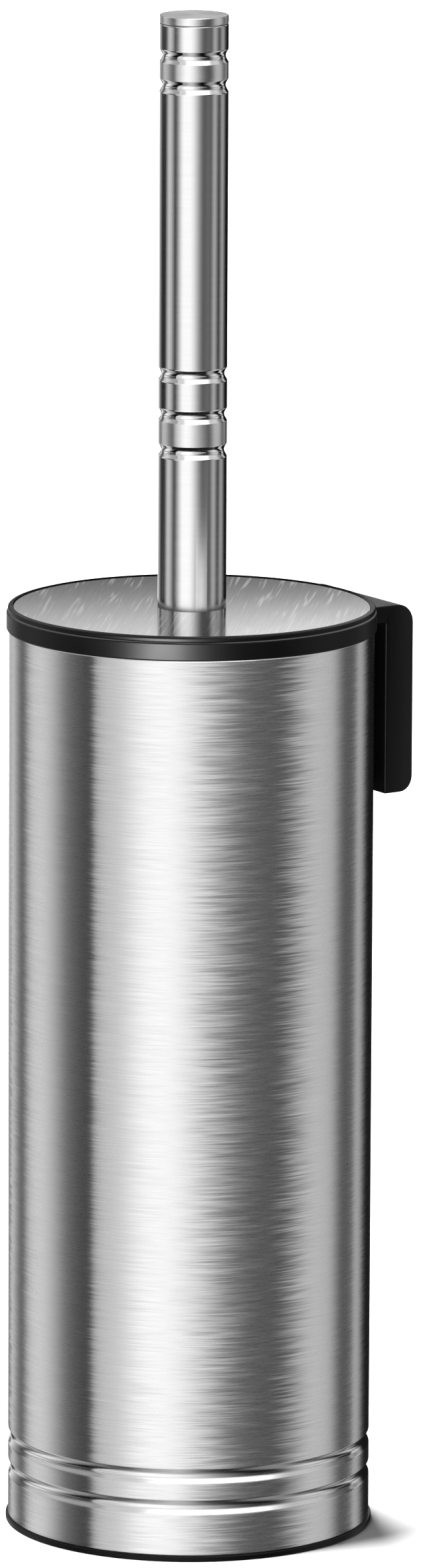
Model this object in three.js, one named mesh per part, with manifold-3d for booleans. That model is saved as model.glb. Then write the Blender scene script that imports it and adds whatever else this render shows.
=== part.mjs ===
// A toilet brush in its free-standing holder, which can also hang on a wall plate.
//
// The holder is a steel tube between a plastic base cap and a plastic collar. The collar carries a
// hanger at the back, an open-bottomed sleeve that drops over a T-shaped wall plate. A removable
// bucket hangs by its rim inside the collar. The brush is one assembly: a tubular handle, a lid that
// closes the collar, a stem under the lid and a screw-on head with rows of tufts.
//
// Millimetres, +Z up. The origin is the centre of the foot on the floor, and +Y points at the wall.

import * as THREE from "three";
import { mergeVertices } from "three/addons/utils/BufferGeometryUtils.js";
import Module from "manifold-3d";

const wasm = await Module();
wasm.setup();

// ---------------------------------------------------------------- driving dimensions

const GAP = 0.3; // air left between pieces that touch
const ROUND = 48; // sides of a large turned piece
const ROUND_SMALL = 24; // sides of a handle-sized piece

// Holder
const BODY_R = 48;
const TUBE_WALL = 0.8;
const FOOT_R = 48.5;
const FOOT_TOP = 1.75;
const PAD_R = 41;
const PAD_PROUD = 0.3;
const COLLAR_R = 48.65;
const COLLAR_BOTTOM = 239.9;
const COLLAR_TOP = 244.6;
const BEAD_Z = [14.5, 22.9];
const BEAD_HALF_HEIGHT = 2.3;
const BEAD_DEPTH = 0.9;

// Hanger and wall plate
const HANGER_HALF_WIDTH = 18.5;
const HANGER_FRONT = 48.4;
const HANGER_BACK = 57.6;
const HANGER_BOTTOM = 194;
const HANGER_TOP = 244.3;
const HANGER_TOP_ROUND = 5.2;
const HANGER_BOTTOM_ROUND = 4;
const SLEEVE_HALF_WIDTH = 15.2;
const SLEEVE_FRONT = 50.4;
const SLEEVE_BACK = 55.4;
const SLEEVE_TOP = 239.4;
const SLOT_HALF_WIDTH = 9.2;
const SLOT_TOP = 236;
const SCREW_HOLE_R = 2.3;
const SCREW_HEAD_R = 4.4;
const SCREW_Z = [205, 225];

// Lid and handle
const LID_R = 48.3;
const LID_TOP = 246.3;
const DISC_R = 46.9;
const DISC_THICKNESS = 0.5;
const HANDLE_R = 9;
const HANDLE_TOP = 402;
const HANDLE_WALL = 1.2;
const CAP_BAND = 2.15;
const GROOVE_Z = [287.7, 297.1, 307.8, 383.6, 391.3];
const GROOVE_HALF_HEIGHT = 1.7;
const GROOVE_DEPTH = 0.7;

// Brush below the lid
const STUD_R = 3;
const STEM_R = 4.5;
const STEM_TOP = 232;
const CORE_R = 9.5;
const CORE_TOP = 95.7;
const CORE_BOTTOM = 27;
const NOSE_R = 5.5;
const NOSE_TOP = 30;
const SOCKET_DEPTH = 14;
const TUFT_ROWS = 9;
const TUFTS_IN_ROW = 12;
const ROW_THICKNESS = 4.4;
const FIRST_ROW_Z = 33;
const ROW_PITCH = 6.6;
const BRUSH_R = 36;
const BRUSH_MIDDLE_Z = 58;
const BRUSH_HALF_LENGTH = 45;
const TIP_R = 22.5;
const TIP_BOTTOM = 19.5;

// ---------------------------------------------------------------- dimensions that follow

const BODY_INNER_R = BODY_R - TUBE_WALL;
const SPIGOT_R = BODY_INNER_R - GAP; // spigots of the collar and the base cap, inside the tube
const SPIGOT_INNER_R = SPIGOT_R - 1.6;
const MOUTH_R = 43.9; // narrowest opening of the collar
const LEDGE_Z = COLLAR_BOTTOM + 1.5; // the bucket's rim hangs on this ledge
const LEDGE_R = 45.7;
const LID_RECESS_R = 46.95;
const LID_RECESS_Z = 243.2;
const BUCKET_TOP_R = MOUTH_R - GAP;
const BUCKET_BOTTOM_R = 40.6;
const BUCKET_BOTTOM = 3.6;
const BUCKET_WALL = 1.2;
const DISC_TOP = LID_TOP - 0.1;
const DISC_SEAT = DISC_TOP - DISC_THICKNESS - 0.2;
const LID_RIM_BOTTOM = COLLAR_TOP + GAP;
const LID_WEB_BOTTOM = LID_RECESS_Z + GAP;
const BOSS_BOTTOM = 241.6;
const STUD_HOLE_R = STUD_R + GAP;

// ---------------------------------------------------------------- materials

const paint = (color, roughness, metalness) =>
  new THREE.MeshStandardMaterial({ color, roughness, metalness });

const brushedSteel = paint(0xb9babb, 0.34, 1);
const polishedSteel = paint(0xc8c9ca, 0.2, 1);
const blackPlastic = paint(0x161616, 0.45, 0);
const bucketPlastic = paint(0x2b2c2e, 0.55, 0);
const corePlastic = paint(0x232425, 0.5, 0);
const rubber = paint(0x121212, 0.85, 0);
const zinc = paint(0xa9abad, 0.4, 1);
const nylon = paint(0xeeeeea, 0.6, 0);

// ---------------------------------------------------------------- geometry helpers

// A solid of revolution about Z. The profile is a list of [radius, z], anticlockwise with the radius
// to the right and z up, so that its outer wall runs upwards. It closes on itself unless both of its
// ends lie on the axis.
function turned(profile, sides = ROUND) {
  const onAxis = profile[0][0] === 0 && profile.at(-1)[0] === 0;
  const closed = onAxis ? profile : [...profile, profile[0]];
  const points = closed.map(([radius, z]) => new THREE.Vector2(radius, z));
  return new THREE.LatheGeometry(points, sides).rotateX(Math.PI / 2);
}

// A flat-ended ring between two radii and two heights.
function ring(innerR, outerR, low, high, sides = ROUND_SMALL) {
  return turned([[outerR, low], [outerR, high], [innerR, high], [innerR, low]], sides);
}

// A tube's wall from bottom to top, with a shallow V-shaped groove at each of the heights.
function groovedWall(radius, low, high, heights, halfHeight, depth) {
  const grooves = heights.flatMap((z) => [
    [radius, z - halfHeight], [radius - depth, z], [radius, z + halfHeight],
  ]);
  return [[radius, low], ...grooves, [radius, high]];
}

// A box between two corners.
function block(low, high) {
  const size = high.map((value, axis) => value - low[axis]);
  const middle = high.map((value, axis) => (value + low[axis]) / 2);
  return new THREE.BoxGeometry(...size).translate(...middle);
}

// A cone or cylinder along +Y between two depths.
function holeAlongY(frontR, backR, frontY, backY, z) {
  return new THREE.CylinderGeometry(backR, frontR, backY - frontY, 16)
    .translate(0, (frontY + backY) / 2, z);
}

function toSolid(geometry) {
  const bare = geometry.clone();
  bare.deleteAttribute("normal");
  bare.deleteAttribute("uv");
  const merged = mergeVertices(bare, 1e-4);
  return new wasm.Manifold(new wasm.Mesh({
    numProp: 3,
    vertProperties: merged.attributes.position.array,
    triVerts: new Uint32Array(merged.index.array),
  }));
}

function toGeometry(solid) {
  const { vertProperties, triVerts } = solid.getMesh();
  const geometry = new THREE.BufferGeometry();
  geometry.setAttribute("position", new THREE.BufferAttribute(vertProperties, 3));
  geometry.setIndex(new THREE.BufferAttribute(triVerts, 1));
  geometry.computeVertexNormals();
  return geometry;
}

const holder = new THREE.Group();

function addPiece(name, geometry, material) {
  const mesh = new THREE.Mesh(geometry, material);
  mesh.name = name;
  holder.add(mesh);
}

// ---------------------------------------------------------------- holder

// The steel tube, with two beads rolled in above the foot.
function bodyTube() {
  const low = FOOT_TOP + GAP;
  const high = COLLAR_BOTTOM - GAP;
  const wall = (radius) => groovedWall(radius, low, high, BEAD_Z, BEAD_HALF_HEIGHT, BEAD_DEPTH);
  return turned([...wall(BODY_R), ...wall(BODY_INNER_R).reverse()]);
}

// A plug in the tube's lower end: a visible rim, a floor, a spigot and a recess for the pad.
function baseCap() {
  const floorTop = 3;
  const spigotTop = 10.5;
  const recessTop = 1.5;
  const recessR = PAD_R + GAP;
  return turned([
    [0, recessTop], [recessR, recessTop], [recessR, PAD_PROUD], [FOOT_R, PAD_PROUD],
    [FOOT_R, FOOT_TOP], [SPIGOT_R, FOOT_TOP], [SPIGOT_R, spigotTop],
    [SPIGOT_INNER_R, spigotTop], [SPIGOT_INNER_R, floorTop], [0, floorTop],
  ]);
}

// The rubber disc that the holder stands on.
function antislipPad() {
  const thickness = 1.2;
  return turned([[0, 0], [PAD_R, 0], [PAD_R, thickness], [0, thickness]]);
}

// The ring that closes the tube's top: a lid recess, a ledge for the bucket and a spigot below.
function collarRing() {
  const spigotBottom = 228;
  return turned([
    [COLLAR_R, COLLAR_BOTTOM], [COLLAR_R, COLLAR_TOP],
    [LID_RECESS_R, COLLAR_TOP], [LID_RECESS_R, LID_RECESS_Z],
    [LEDGE_R, LID_RECESS_Z], [LEDGE_R, LEDGE_Z],
    [MOUTH_R, LEDGE_Z], [MOUTH_R, COLLAR_BOTTOM],
    [SPIGOT_INNER_R, COLLAR_BOTTOM], [SPIGOT_INNER_R, spigotBottom],
    [SPIGOT_R, spigotBottom], [SPIGOT_R, COLLAR_BOTTOM],
  ]);
}

// The hanger's side outline in depth and height, extruded across its width.
function hangerBlock() {
  const webStart = 40;
  const quarter = Math.PI / 2;
  const outline = new THREE.Shape();
  outline.moveTo(webStart, COLLAR_BOTTOM);
  outline.lineTo(HANGER_FRONT, COLLAR_BOTTOM);
  outline.lineTo(HANGER_FRONT, HANGER_BOTTOM);
  outline.absarc(HANGER_BACK - HANGER_BOTTOM_ROUND, HANGER_BOTTOM + HANGER_BOTTOM_ROUND,
    HANGER_BOTTOM_ROUND, -quarter, 0);
  outline.absarc(HANGER_BACK - HANGER_TOP_ROUND, HANGER_TOP - HANGER_TOP_ROUND,
    HANGER_TOP_ROUND, 0, quarter);
  outline.lineTo(webStart, HANGER_TOP);
  const width = 2 * HANGER_HALF_WIDTH;
  const extruded = new THREE.ExtrudeGeometry(outline, {
    depth: width, bevelEnabled: false, curveSegments: 8,
  });
  // The outline's own axes (depth, height, extrusion) become the part's Y, Z and X.
  const toPart = new THREE.Matrix4().makeBasis(
    new THREE.Vector3(0, 1, 0), new THREE.Vector3(0, 0, 1), new THREE.Vector3(1, 0, 0),
  );
  return extruded.applyMatrix4(toPart).translate(-HANGER_HALF_WIDTH, 0, 0);
}

// The collar and its hanger, moulded as one piece.
function collar() {
  const below = HANGER_BOTTOM - 1;
  const beyond = HANGER_BACK + 1;
  const bore = ring(0, LID_RECESS_R + 0.5, COLLAR_BOTTOM - 1, COLLAR_TOP + 1, ROUND);
  const sleeve = block(
    [-SLEEVE_HALF_WIDTH, SLEEVE_FRONT, below],
    [SLEEVE_HALF_WIDTH, SLEEVE_BACK, SLEEVE_TOP],
  );
  const slot = block(
    [-SLOT_HALF_WIDTH, SLEEVE_BACK - 1, below],
    [SLOT_HALF_WIDTH, beyond, SLOT_TOP],
  );
  const hanger = toSolid(hangerBlock())
    .subtract(toSolid(bore))
    .subtract(toSolid(sleeve))
    .subtract(toSolid(slot));
  return toGeometry(toSolid(collarRing()).add(hanger));
}

// The T-section plate that is screwed to the wall, with two countersunk holes.
function wallPlate() {
  const bottom = HANGER_BOTTOM + GAP;
  const front = SLEEVE_FRONT + GAP;
  const shoulder = SLEEVE_BACK - GAP;
  const back = HANGER_BACK + GAP;
  const flange = block(
    [-(SLEEVE_HALF_WIDTH - GAP), front, bottom],
    [SLEEVE_HALF_WIDTH - GAP, shoulder, SLEEVE_TOP - GAP],
  );
  const neck = block(
    [-(SLOT_HALF_WIDTH - GAP), shoulder - 1, bottom],
    [SLOT_HALF_WIDTH - GAP, back, SLOT_TOP - GAP],
  );
  const headDepth = SCREW_HEAD_R - SCREW_HOLE_R;
  let plate = toSolid(flange).add(toSolid(neck));
  for (const z of SCREW_Z) {
    const shank = holeAlongY(SCREW_HOLE_R, SCREW_HOLE_R, front - 1, back + 1, z);
    const head = holeAlongY(SCREW_HEAD_R, SCREW_HOLE_R, front - 0.01, front + headDepth, z);
    plate = plate.subtract(toSolid(shank)).subtract(toSolid(head));
  }
  return toGeometry(plate);
}

// The removable bucket: a tapered cup that hangs by its rim on the collar's ledge.
function innerBucket() {
  const rimR = LEDGE_R - GAP;
  const rimBottom = LEDGE_Z + GAP;
  const rimTop = rimBottom + BUCKET_WALL;
  const corner = 3;
  const innerTopR = BUCKET_TOP_R - BUCKET_WALL;
  const innerBottomR = BUCKET_BOTTOM_R - BUCKET_WALL;
  const floorTop = BUCKET_BOTTOM + BUCKET_WALL;
  return turned([
    [0, BUCKET_BOTTOM], [BUCKET_BOTTOM_R - corner, BUCKET_BOTTOM],
    [BUCKET_BOTTOM_R, BUCKET_BOTTOM + corner], [BUCKET_TOP_R, rimBottom],
    [rimR, rimBottom], [rimR, rimTop], [innerTopR, rimTop],
    [innerBottomR, floorTop + corner], [innerBottomR - corner, floorTop], [0, floorTop],
  ]);
}

// ---------------------------------------------------------------- lid and handle

// The lid's moulding: a rim round the disc, a web under it, a skirt and a boss for the stud.
function lidBody() {
  const webR = LID_RECESS_R - 0.35;
  const discRecessR = DISC_R + GAP;
  const skirtR = BUCKET_TOP_R - BUCKET_WALL - 0.5;
  const skirtInnerR = skirtR - 1.4;
  const skirtBottom = 236;
  const bossR = 10;
  return turned([
    [bossR, BOSS_BOTTOM], [bossR, LID_WEB_BOTTOM],
    [skirtInnerR, LID_WEB_BOTTOM], [skirtInnerR, skirtBottom],
    [skirtR, skirtBottom], [skirtR, LID_WEB_BOTTOM],
    [webR, LID_WEB_BOTTOM], [webR, LID_RIM_BOTTOM],
    [LID_R, LID_RIM_BOTTOM], [LID_R, LID_TOP],
    [discRecessR, LID_TOP], [discRecessR, DISC_SEAT],
    [STUD_HOLE_R, DISC_SEAT], [STUD_HOLE_R, BOSS_BOTTOM],
  ]);
}

// The brushed steel disc let into the lid.
function lidDisc() {
  return ring(STUD_HOLE_R, DISC_R, DISC_TOP - DISC_THICKNESS, DISC_TOP, ROUND);
}

// The handle's tube, with three grooves turned near the middle and two near the top.
function handleTube() {
  const low = DISC_TOP + GAP;
  const high = HANDLE_TOP - CAP_BAND - GAP;
  const boreR = HANDLE_R - HANDLE_WALL;
  const wall = groovedWall(HANDLE_R, low, high, GROOVE_Z, GROOVE_HALF_HEIGHT, GROOVE_DEPTH);
  return turned([...wall, [boreR, high], [boreR, low]], ROUND_SMALL);
}

// The cap pressed into the handle's upper end.
function handleCap() {
  const plugR = HANDLE_R - HANDLE_WALL - GAP;
  const plugBottom = HANDLE_TOP - 7.5;
  const bandBottom = HANDLE_TOP - CAP_BAND;
  return turned([
    [0, plugBottom], [plugR, plugBottom], [plugR, bandBottom],
    [HANDLE_R, bandBottom], [HANDLE_R, HANDLE_TOP], [0, HANDLE_TOP],
  ], ROUND_SMALL);
}

// The threaded insert in the handle's lower end, which takes the stem's stud.
function handlePlug() {
  const low = DISC_TOP + 2 * GAP;
  const length = 21;
  return ring(STUD_HOLE_R, HANDLE_R - HANDLE_WALL - GAP, low, low + length);
}

// ---------------------------------------------------------------- lid fastening and stem

const RUBBER_WASHER_TOP = BOSS_BOTTOM - GAP;
const RUBBER_WASHER_BOTTOM = RUBBER_WASHER_TOP - 1.2;
const STEEL_WASHER_TOP = RUBBER_WASHER_BOTTOM - GAP;
const STEEL_WASHER_BOTTOM = STEEL_WASHER_TOP - 1.2;
const NUT_TOP = STEEL_WASHER_BOTTOM - GAP;
const NUT_BOTTOM = STEM_TOP + GAP;
const WASHER_R = 8.5;

// The hexagon nut that clamps the lid against the handle.
function lidNut() {
  const acrossFlats = 10;
  const cornerR = acrossFlats / Math.sqrt(3);
  const outline = new THREE.Shape();
  for (let side = 0; side < 6; side += 1) {
    const angle = (side * Math.PI) / 3;
    outline[side ? "lineTo" : "moveTo"](cornerR * Math.cos(angle), cornerR * Math.sin(angle));
  }
  outline.holes.push(new THREE.Path().absarc(0, 0, STUD_HOLE_R, 0, 2 * Math.PI, true));
  return new THREE.ExtrudeGeometry(outline, {
    depth: NUT_TOP - NUT_BOTTOM, bevelEnabled: false, curveSegments: 12,
  }).translate(0, 0, NUT_BOTTOM);
}

// The rod under the lid, turned down to a stud at each end.
function stem() {
  const upperStudTop = 263;
  const rodBottom = CORE_TOP + GAP;
  const lowerStudBottom = rodBottom - SOCKET_DEPTH + 2;
  return turned([
    [0, lowerStudBottom], [STUD_R, lowerStudBottom], [STUD_R, rodBottom],
    [STEM_R, rodBottom], [STEM_R, STEM_TOP],
    [STUD_R, STEM_TOP], [STUD_R, upperStudTop], [0, upperStudTop],
  ], ROUND_SMALL);
}

// ---------------------------------------------------------------- brush head

// The head's core, with the threaded socket for the stem in its top.
function headCore() {
  const neckR = 7.5;
  const neckBottom = 91;
  const shoulder = 1.5;
  return turned([
    [0, CORE_BOTTOM], [NOSE_R, CORE_BOTTOM], [CORE_R, NOSE_TOP],
    [CORE_R, neckBottom - shoulder], [neckR, neckBottom], [neckR, CORE_TOP],
    [STUD_HOLE_R, CORE_TOP], [STUD_HOLE_R, CORE_TOP - SOCKET_DEPTH], [0, CORE_TOP - SOCKET_DEPTH],
  ], ROUND_SMALL);
}

// The brush's outer radius at a height: a barrel, widest in the middle.
function brushRadius(z) {
  const along = (z - BRUSH_MIDDLE_Z) / BRUSH_HALF_LENGTH;
  return BRUSH_R * Math.sqrt(1 - along * along);
}

// One row of tufts as a toothed ring round the core. Each tooth stands for a tuft, which is wider
// at its tip, and every other row is turned by half a tuft.
function tuftRow(row) {
  const z = FIRST_ROW_Z + row * ROW_PITCH;
  const tipR = brushRadius(z);
  const rootR = CORE_R + 1.6;
  const pitch = (2 * Math.PI) / TUFTS_IN_ROW;
  const rootHalfAngle = 0.34 * pitch;
  const tipHalfAngle = 0.25 * pitch;
  const turn = row % 2 ? 0 : 0.5;
  const outline = new THREE.Shape();
  for (let tuft = 0; tuft < TUFTS_IN_ROW; tuft += 1) {
    const middle = (tuft + turn) * pitch;
    const corners = [
      [rootR, middle - rootHalfAngle], [tipR, middle - tipHalfAngle],
      [tipR, middle + tipHalfAngle], [rootR, middle + rootHalfAngle],
    ];
    corners.forEach(([radius, angle], corner) => {
      const command = tuft || corner ? "lineTo" : "moveTo";
      outline[command](radius * Math.cos(angle), radius * Math.sin(angle));
    });
  }
  outline.holes.push(new THREE.Path().absarc(0, 0, CORE_R + GAP, 0, 2 * Math.PI, true));
  return new THREE.ExtrudeGeometry(outline, {
    depth: ROW_THICKNESS, bevelEnabled: false, curveSegments: 12,
  }).translate(0, 0, z - ROW_THICKNESS / 2);
}

// The tufts at the end of the core, as one skirt that flares down and out from the nose.
function tipTufts() {
  const rootLow = [NOSE_R + GAP, CORE_BOTTOM - 0.4];
  const rootHigh = [CORE_R + GAP, NOSE_TOP - 0.4];
  const tipLow = [TIP_R - 3.5, TIP_BOTTOM];
  const tipHigh = [TIP_R, TIP_BOTTOM + 5];
  return turned([rootLow, tipLow, tipHigh, rootHigh], ROUND_SMALL);
}

// ---------------------------------------------------------------- assembly

addPiece("body_tube", bodyTube(), brushedSteel);
addPiece("base_cap", baseCap(), blackPlastic);
addPiece("antislip_pad", antislipPad(), rubber);
addPiece("collar", collar(), blackPlastic);
addPiece("wall_plate", wallPlate(), blackPlastic);
addPiece("inner_bucket", innerBucket(), bucketPlastic);

addPiece("lid_body", lidBody(), blackPlastic);
addPiece("lid_disc", lidDisc(), brushedSteel);
addPiece("handle_tube", handleTube(), polishedSteel);
addPiece("handle_cap", handleCap(), polishedSteel);
addPiece("handle_plug", handlePlug(), zinc);
addPiece("rubber_washer", ring(STUD_HOLE_R, WASHER_R, RUBBER_WASHER_BOTTOM, RUBBER_WASHER_TOP), rubber);
addPiece("steel_washer", ring(STUD_HOLE_R, WASHER_R, STEEL_WASHER_BOTTOM, STEEL_WASHER_TOP), zinc);
addPiece("lid_nut", lidNut(), zinc);
addPiece("stem", stem(), polishedSteel);

addPiece("head_core", headCore(), corePlastic);
addPiece("tip_tufts", tipTufts(), nylon);
for (let row = 0; row < TUFT_ROWS; row += 1) {
  addPiece(`tuft_row_${row + 1}`, tuftRow(row), nylon);
}

export default holder;
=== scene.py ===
"""Looks of the toilet brush holder: a brushed steel tube, a lidded brush and a hanger on the collar."""

import math
import random

import bmesh
import bpy
from mathutils import Matrix, Vector


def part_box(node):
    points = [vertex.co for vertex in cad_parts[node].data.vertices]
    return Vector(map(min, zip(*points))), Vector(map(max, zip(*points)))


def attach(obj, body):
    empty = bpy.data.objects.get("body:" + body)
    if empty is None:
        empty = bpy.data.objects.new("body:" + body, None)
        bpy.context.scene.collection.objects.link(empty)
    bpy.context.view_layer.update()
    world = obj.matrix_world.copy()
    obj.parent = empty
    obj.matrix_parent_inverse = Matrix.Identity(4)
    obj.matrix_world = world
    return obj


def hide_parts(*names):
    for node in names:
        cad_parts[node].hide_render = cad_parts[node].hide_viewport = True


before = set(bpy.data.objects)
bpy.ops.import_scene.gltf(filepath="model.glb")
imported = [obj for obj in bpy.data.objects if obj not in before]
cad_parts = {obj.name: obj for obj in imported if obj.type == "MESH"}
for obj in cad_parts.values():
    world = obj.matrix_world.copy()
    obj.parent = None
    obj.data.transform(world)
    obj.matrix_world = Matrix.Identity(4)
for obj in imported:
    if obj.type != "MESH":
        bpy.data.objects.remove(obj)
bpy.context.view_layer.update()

# ---------------------------------------------------------------- sizes, in millimetres

MM = 0.001
SEAT = 0.27  # the CAD solids keep a gap of 0.3 where real pieces touch, so the pieces here close it

BODY_SIDES = 288
HANDLE_SIDES = 144
FASTENER_SIDES = 96
HOLE_SIDES = 48
SHARP = math.radians(32)  # an edge sharper than this is shaded as an edge


def low(node):
    """A CAD node's lowest corner, in millimetres."""
    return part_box(node)[0] / MM


def high(node):
    """A CAD node's highest corner, in millimetres."""
    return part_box(node)[1] / MM


BODY_R = high("body_tube").x
BODY_LOW = low("body_tube").z - SEAT - 0.3  # only a thin line of the foot shows below it
BODY_HIGH = high("body_tube").z + SEAT
TUBE_WALL = 0.8
BEAD_HEIGHTS = [14.5, 22.9]
BEAD_HALF_HEIGHT = 2.0
BEAD_DEPTH = 1.2
SPIGOT_R = BODY_R - TUBE_WALL - 0.1  # the foot and the collar each reach into the tube with a spigot
SPIGOT_WALL = 1.7
COLLAR_R = high("collar").x
COLLAR_LOW = high("body_tube").z + 0.3
COLLAR_TOP = 244.6
LID_R = high("lid_body").x
LID_TOP = high("lid_body").z
DISC_R = high("lid_disc").x
DISC_TOP = high("lid_disc").z - 0.4  # a little below the lid's rim
HANDLE_R = high("handle_tube").x
HANDLE_WALL = 1.2
HANDLE_LOW = DISC_TOP - 0.05
HANDLE_TOP = high("handle_cap").z
SEAM = high("handle_tube").z + SEAT / 2  # between the handle's tube and its closed end
GROOVE_HEIGHTS = [287.7, 297.1, 307.8, 383.6, 391.3]
GROOVE_HALF_HEIGHT = 1.7
GROOVE_DEPTH = 1.0
STUD_R = 3.0

# The camera looks at the hanger's side. It stands about three metres off and looks a little down.
VIEW_AZIMUTH = math.radians(57.5)
AWAY = Vector((-math.sin(VIEW_AZIMUTH), math.cos(VIEW_AZIMUTH), 0))
RIGHT = Vector((math.cos(VIEW_AZIMUTH), math.sin(VIEW_AZIMUTH), 0))


# ---------------------------------------------------------------- mesh helpers

def round_point(radius, angle, height):
    return Vector((radius * math.cos(angle), radius * math.sin(angle), height))


def softened(corners, closed=True):
    """An outline of (x, y, rounding) corners, with each corner turned into an arc of that radius."""
    outline = []
    count = len(corners)
    for index, corner in enumerate(corners):
        here = Vector(corner[:2])
        radius = corner[2] if len(corner) > 2 else 0
        at_end = not closed and index in (0, count - 1)
        if radius <= 0 or at_end:
            outline.append(tuple(here))
            continue
        before = Vector(corners[index - 1][:2]) - here
        after = Vector(corners[(index + 1) % count][:2]) - here
        half = before.angle(after) / 2
        reach = min(radius / math.tan(half), 0.49 * min(before.length, after.length))
        radius = reach * math.tan(half)
        before.normalize()
        after.normalize()
        centre = here + (before + after).normalized() * (radius / math.sin(half))
        start = here + before * reach - centre
        sweep = (here + after * reach - centre).angle_signed(start)
        steps = max(2, math.ceil(abs(sweep) / math.radians(11)))
        for step in range(steps + 1):
            turn = Matrix.Rotation(sweep * step / steps, 2)
            outline.append(tuple(centre + turn @ start))
    return outline


def guarded(outline, reach=0.05):
    """The outline with a point close to both ends of each long straight stretch, so it is shaded flat."""
    points = []
    for start, end in zip(outline, outline[1:] + outline[:1]):
        points.append(start)
        way = Vector(end) - Vector(start)
        if way.length > 8 * reach:
            step = way.normalized() * reach
            points += [tuple(Vector(start) + step), tuple(Vector(end) - step)]
    return points


def shaded(mesh):
    """The mesh shaded smooth, apart from its sharp edges."""
    mesh.polygons.foreach_set("use_smooth", [True] * len(mesh.polygons))
    mesh.set_sharp_from_angle(angle=SHARP)
    return mesh


def new_mesh(points, faces):
    mesh = bpy.data.meshes.new("shape")
    mesh.from_pydata([tuple(Vector(point) * MM) for point in points], [], faces)
    mesh.validate()
    return shaded(mesh)


def turned(outline, sides):
    """A solid of revolution about Z from an outline of (radius, height) points, going up its outer wall."""
    on_axis = abs(outline[0][0]) < 1e-9 and abs(outline[-1][0]) < 1e-9
    outline = guarded(outline)[:-2] if on_axis else guarded(outline)
    inner = outline[1:-1] if on_axis else outline
    rows = len(inner)
    points = [round_point(radius, 2 * math.pi * side / sides, height)
              for radius, height in inner for side in range(sides)]
    faces = []
    for row in range(rows - 1 if on_axis else rows):
        upper = (row + 1) % rows
        for side in range(sides):
            following = (side + 1) % sides
            faces.append((row * sides + side, row * sides + following,
                          upper * sides + following, upper * sides + side))
    if on_axis:
        points += [(0, 0, outline[0][1]), (0, 0, outline[-1][1])]
        first, last = len(points) - 2, len(points) - 1
        top = (rows - 1) * sides
        for side in range(sides):
            following = (side + 1) % sides
            faces.append((first, following, side))
            faces.append((last, top + side, top + following))
    return new_mesh(points, faces)


def stacked(rings):
    """A closed rod from rings of (radius, height) points, each with a point for each side."""
    sides = len(rings[0])
    points = [round_point(radius, 2 * math.pi * side / sides, height)
              for ring in rings for side, (radius, height) in enumerate(ring)]
    faces = []
    for row in range(len(rings) - 1):
        start, above = row * sides, (row + 1) * sides
        for side in range(sides):
            following = (side + 1) % sides
            faces.append((start + side, start + following, above + following, above + side))
    faces.append(tuple(reversed(range(sides))))
    faces.append(tuple(range(len(points) - sides, len(points))))
    return new_mesh(points, faces)


def in_plan(bottom):
    """Places an outline's points in plan, and its depth upward from the bottom."""
    return lambda x, y, depth: (x, y, bottom + depth)


def in_side_view(left):
    """Places an outline's points in side view, and its depth to the right from the left."""
    return lambda y, z, depth: (left + depth, y, z)


def extruded(outline, depth, place):
    """A prism on an outline."""
    count = len(outline)
    points = [place(x, y, 0) for x, y in outline] + [place(x, y, depth) for x, y in outline]
    faces = [tuple(reversed(range(count))), tuple(range(count, 2 * count))]
    for index in range(count):
        following = (index + 1) % count
        faces.append((index, following, following + count, index + count))
    mesh = new_mesh(points, faces)
    shape = bmesh.new()
    shape.from_mesh(mesh)
    bmesh.ops.recalc_face_normals(shape, faces=shape.faces)
    shape.to_mesh(mesh)
    shape.free()
    return mesh


def block(half_width, front, back, bottom, top):
    """A block that is centred across, for cutting."""
    outline = [(-half_width, front), (half_width, front), (half_width, back), (-half_width, back)]
    return extruded(outline, top - bottom, in_plan(bottom))


def as_object(mesh):
    made = bpy.data.objects.new(mesh.name, mesh)
    bpy.context.scene.collection.objects.link(made)
    return made


def evaluated(made):
    """The object's mesh with its modifiers applied."""
    graph = bpy.context.evaluated_depsgraph_get()
    return bpy.data.meshes.new_from_object(made.evaluated_get(graph))


def combined(mesh, others, operation):
    """The mesh with others cut from it or joined to it."""
    base = as_object(mesh)
    tools = [as_object(other) for other in others]
    for tool in tools:
        cut = base.modifiers.new("cut", "BOOLEAN")
        cut.operation = operation
        cut.solver = "EXACT"
        cut.object = tool
    result = evaluated(base)
    for made in [base, *tools]:
        bpy.data.objects.remove(made)
    return shaded(result)


def eased(mesh, width):
    """The mesh with its sharp edges rounded over."""
    made = as_object(mesh)
    bevel = made.modifiers.new("ease", "BEVEL")
    bevel.width = width * MM
    bevel.segments = 3
    bevel.limit_method = "ANGLE"
    bevel.angle_limit = SHARP
    bevel.miter_outer = "MITER_ARC"
    result = evaluated(made)
    bpy.data.objects.remove(made)
    return result


def piece(name, mesh, body, node, slot, *materials):
    """A finished piece: it rides on a body and stands for a CAD node."""
    mesh.name = name
    for material in materials:
        mesh.materials.append(material)
    made = as_object(mesh)
    made.name = name
    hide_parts(node)
    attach(made, body)
    return made


def use_second_material(made, test):
    """Gives the piece's second material to the faces whose height passes the test."""
    for face in made.data.polygons:
        if test(face.center.z / MM):
            face.material_index = 1


# ---------------------------------------------------------------- node helpers

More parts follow.
